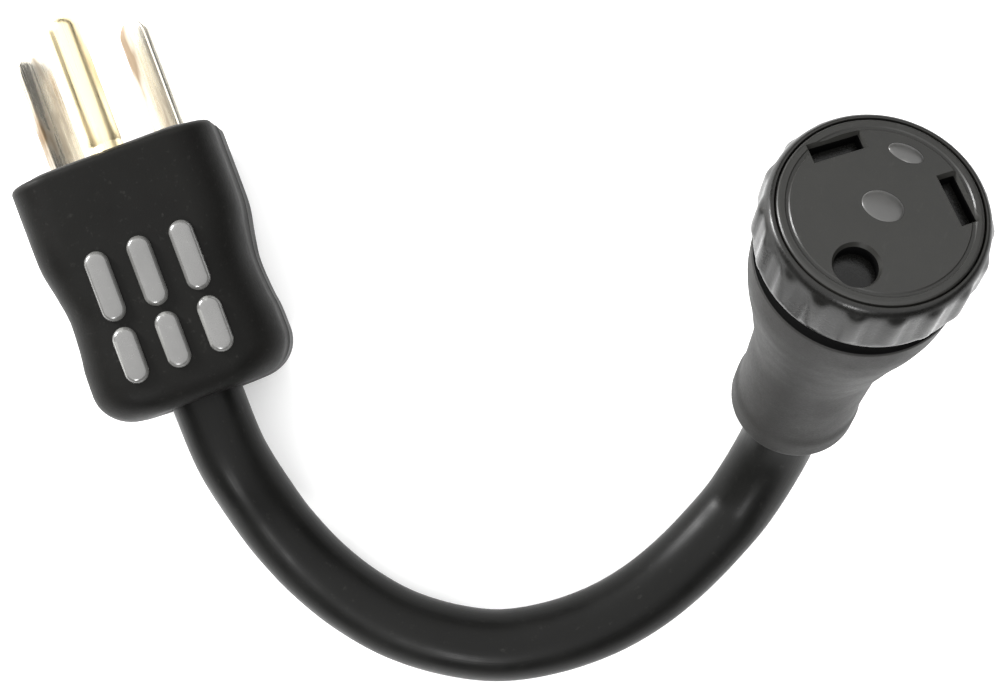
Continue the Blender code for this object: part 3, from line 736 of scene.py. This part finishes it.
def connector_rows():
    """(z, radius, rib) from inside the neck's cord hole, round the outside, to the recess for the insert."""
    length = CONNECTOR_LENGTH
    hole = JACKET_RADIUS + 0.12
    rows = [(-length + 9.0, hole, 0), (-length + 1.0, hole, 0), (-length + 0.3, hole + 0.3, 0)]
    rows += [(-length, hole + 1.0, 0), (-length, 10.0, 0)]
    rows += [(z, radius, 0) for z, radius in fillet(-length + 1.3, 10.0, 1.3, -90, 0)]
    body = [(-length + 1.4, 11.3, 0), (-length + 5.0, 11.3, 0), (-length + 8.0, 10.9, 0), (-57.0, 11.0, 0)]
    body += [(-47.0, 11.4, 0), (-42.0, 12.2, 0), (-38.0, 13.1, 0), (-33.5, 14.1, 0), (-30.0, 15.0, 0)]
    body += [(-27.0, 15.8, 0), (-24.0, 16.4, 0), (-21.5, 16.8, 0), (-17.0, 17.15, 0), (-16.0, 17.2, 0)]
    rows += spline(body)[1:]
    rows += [(-15.8, 17.15, 0), (-15.6, 17.0, 0), (-15.3, 16.75, 0), (-14.6, 16.6, 0), (-12.2, 16.6, 0)]
    rows += [(-11.9, 16.7, 0), (-11.7, 17.1, 0), (-11.55, 17.5, 0), (-11.3, 17.75, 0), (-10.9, 17.85, 0)]
    rows += [(-10.6, 17.9, 0.05), (-10.2, 17.9, 0.35), (-9.6, 17.9, 0.52), (-9.0, 17.9, 0.6)]
    rows.append((-6.0, 17.9, 0.6))
    rows += [(-3.4, 17.9, 0.6), (-2.6, 17.88, 0.5), (-2.0, 17.85, 0.3), (-1.6, 17.8, 0.1), (-1.2, 17.7, 0)]
    rows += [(-0.7, 17.5, 0), (-0.3, 17.2, 0), (-0.08, 16.95, 0), (0.0, 16.7, 0), (-0.05, 16.5, 0)]
    rows += [(-0.5, INSERT_RADIUS + 0.15, 0), (-3.0, INSERT_RADIUS + 0.15, 0)]
    return rows


def build_connector_body():
    """A turned body with eighteen ribs round its flange, a groove behind it coloured as painted shade, and a
    tapered neck coloured paler as painted light.
    """
    ribs, per_rib = 18, 10
    count = ribs * per_rib
    rings = []
    for z, radius, rib in connector_rows():
        ring = []
        for i in range(count):
            angle = 2 * math.pi * i / count
            crest = max(0.0, math.cos(ribs * angle)) ** 0.6
            reach = radius + rib * crest
            ring.append((reach * math.cos(angle), reach * math.sin(angle), z))
        rings.append(ring)
    body = as_object("connector_body", loft(rings), CONNECTOR)
    finished(body, "soft_black_pvc", ["connector_overmould"], "matte_neck_pvc_painted_light")
    body.data.materials.append(MATERIALS["painted_shade"])
    body.data.materials.append(MATERIALS["flange_black_pvc"])
    # The neck takes the paler colour that paints light on it, the groove painted shade, and the flange the
    # plain black.
    for polygon in body.data.polygons:
        z = polygon.center.z / MM
        polygon.material_index = 0 if z < GROOVE[0] else 1 if z < GROOVE[1] else 2


def build_face():
    """The hard insert: a flat face with bevelled slots and a ring of relief."""
    radius = INSERT_RADIUS
    profile = [(-24.0, radius - 1.2), (-17.2, radius - 1.2), (-17.0, radius), (-0.3, radius)]
    profile += [(-0.05, radius - 0.1), (0.12, radius - 0.3), (0.2, radius - 0.6), (0.2, radius - 1.3)]
    profile += [(0.0, radius - 1.5), (0.0, radius - 1.9), (0.2, radius - 2.1), (0.2, 2.0)]
    face = as_object("connector_face", lathe(profile, 96), CONNECTOR)
    sides = (("line", 1, BLADE_SLANT), ("neutral", -1, -BLADE_SLANT))
    cutters = [
        slot_cutter(f"{name}_slot_cut", side, slant, 4.2, 1.25, 2.0, -25.0, CONNECTOR)
        for name, side, slant in sides
    ]
    cutters += [
        slot_cutter(f"{name}_lead_in_cut", side, slant, 4.15, 1.2, 1.2, -0.8, CONNECTOR, flare=1.0)
        for name, side, slant in sides
    ]
    cutters.append(hole_cutter("ground_slot_cut", 3.5, 2.0, -25.0, CONNECTOR))
    lead_in = lathe([(-0.8, 3.4), (1.2, 4.4)], 48)
    bmesh.ops.translate(lead_in, vec=(0, GROUND_RISE, 0), verts=lead_in.verts)
    cutters.append(as_object("ground_lead_in_cut", lead_in, CONNECTOR))
    cut(face, cutters)
    finished(face, "hard_black_nylon", ["connector_face_insert"], angle=25.0)
    # The walls inside the slots and the ground hole take painted shade.
    face.data.materials.append(MATERIALS["painted_shade"])
    for polygon in face.data.polygons:
        centre = polygon.center / MM
        if abs(polygon.normal.z) < 0.1 and math.hypot(centre.x, centre.y) < INSERT_RADIUS - 1.25:
            polygon.material_index = 1
    flat_across(face)


def raised_mark(name, centre, half_long, half_short, height):
    """A low oval rise on the connector's face, in place of moulded lettering, coloured paler as a painted
    highlight.
    """
    shape = bmesh.new()
    steps, levels, rings = 40, 7, []
    for level in range(levels):
        angle = math.radians(85 * level / (levels - 1))
        ring = []
        for i in range(steps):
            turn = 2 * math.pi * i / steps
            x = centre[0] + half_long * math.cos(angle) * math.cos(turn)
            y = centre[1] + half_short * math.cos(angle) * math.sin(turn)
            ring.append(shape.verts.new((x, y, 0.15 + height * math.sin(angle))))
        rings.append(ring)
    for low, high in zip(rings, rings[1:]):
        for i in range(steps):
            j = (i + 1) % steps
            shape.faces.new((low[i], low[j], high[j], high[i]))
    shape.faces.new(reversed(rings[0]))
    shape.faces.new(rings[-1])
    finished(as_object(name, shape, CONNECTOR), "hard_black_nylon", material="glossy_marks_painted_sheen", angle=50)


def dress_inner_parts():
    """The CAD parts that stay as they are, such as the contacts behind the slots, get their finishes."""
    for name, part in frame["nodes"].items():
        part.data.materials.clear()
        part.data.materials.append(MATERIALS[SLOTS[name]])


build_floor()
build_cord()
dress_inner_parts()
build_plug_body()
build_grip_pads()
build_carrier()
build_blades()
build_ground_pin()
build_connector_body()
build_face()
raised_mark("face_mark_centre", (0.0, -0.8), 3.4, 2.6, 0.45)
raised_mark("face_mark_top", (0.0, -11.2), 2.9, 1.5, 0.4)
